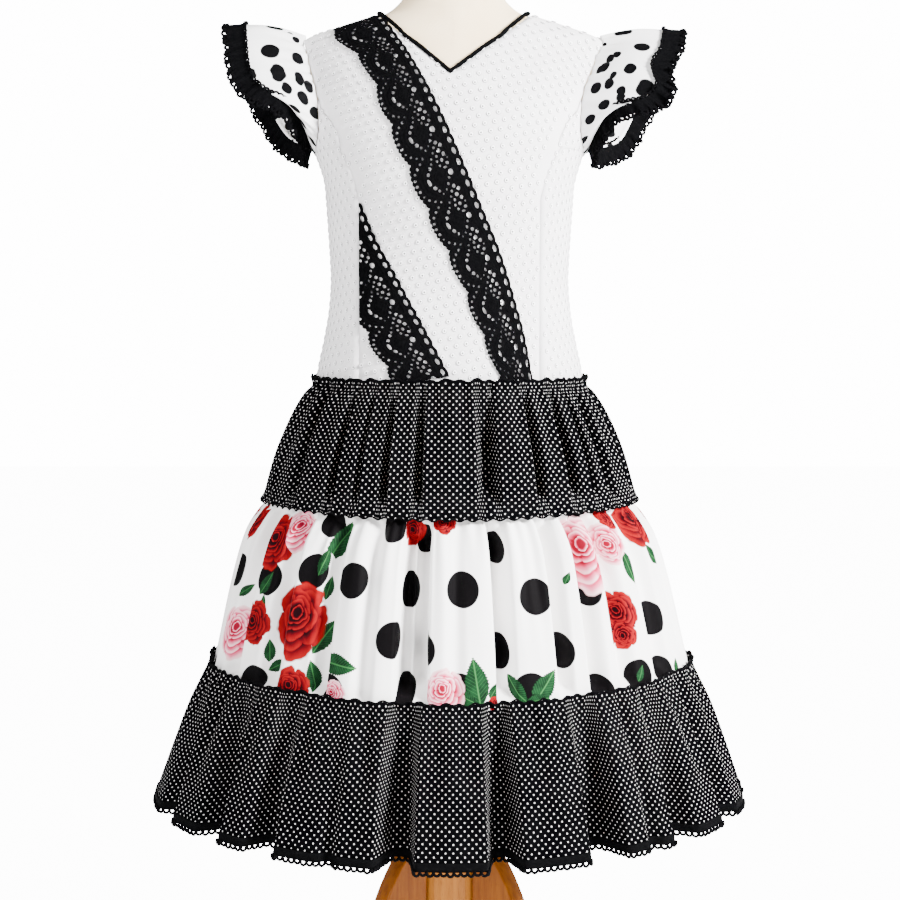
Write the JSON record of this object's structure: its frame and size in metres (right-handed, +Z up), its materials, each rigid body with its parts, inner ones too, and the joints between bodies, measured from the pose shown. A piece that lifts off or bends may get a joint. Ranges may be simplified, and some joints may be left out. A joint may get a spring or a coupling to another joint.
{
  "type": "child's flamenco dress on a limbless dress form with a wooden stand",
  "caption": "Child's V-neck flamenco dress with dotted flounce sleeves, diagonal black lace and a gathered tiered skirt, on a limbless cream dress form with a wooden stand.",
  "frame": {"origin": "on the floor, under the middle of the dress form and at the middle of the bounding box", "axes": "+Z up, -Y to the front of the dress, +X to the wearer's left"},
  "size_m": [0.5964, 0.4792, 1.1403],
  "materials": {
    "white_eyelet_cotton": "white broderie anglaise cotton, matte",
    "black_lace": "black cotton guipure lace, matte",
    "black_trim": "black gathered trim and piping, slight sheen",
    "pin_dot_cotton": "black cotton poplin with white pin dots, matte",
    "printed_satin_cotton": "white cotton sateen with black dots, roses and leaves, soft sheen",
    "dotted_cotton": "white cotton with black dots, matte",
    "cream_jersey": "cream cotton jersey over foam, matte",
    "lacquered_beech": "warm orange-brown lacquered beech, satin gloss",
    "zip_metal": "nickel-plated zip slider, satin"
  },
  "bodies": {
    "dress": {"form_torso": "cream_jersey", "form_neck_cap": "lacquered_beech", "form_pole": "lacquered_beech", "stand_column": "lacquered_beech", "stand_leg_1": "lacquered_beech", "stand_leg_2": "lacquered_beech", "stand_leg_3": "lacquered_beech", "bodice_centre_front": "white_eyelet_cotton", "bodice_side_front_right": "white_eyelet_cotton", "bodice_side_front_left": "white_eyelet_cotton", "bodice_back_right": "white_eyelet_cotton", "bodice_back_left": "white_eyelet_cotton", "neck_piping": "black_trim", "lace_long": "black_lace", "lace_short": "black_lace", "sleeve_right": "dotted_cotton", "sleeve_left": "dotted_cotton", "sleeve_trim_right": "black_trim", "sleeve_trim_left": "black_trim", "tier_1": "pin_dot_cotton", "tier_2": "printed_satin_cotton", "tier_3": "pin_dot_cotton", "hem_trim": "black_trim", "zip_slider": "zip_metal"},
    "zip_pull": {"zip_pull": "zip_metal"}
  },
  "joints": [
    {"name": "zip_pull_hinge", "type": "hinge", "parent": "dress", "child": "zip_pull", "pos_m": [0, 0.06999, 1.04958], "axis": [1, 0, 0], "range_deg": [0, 150]}
  ]
}
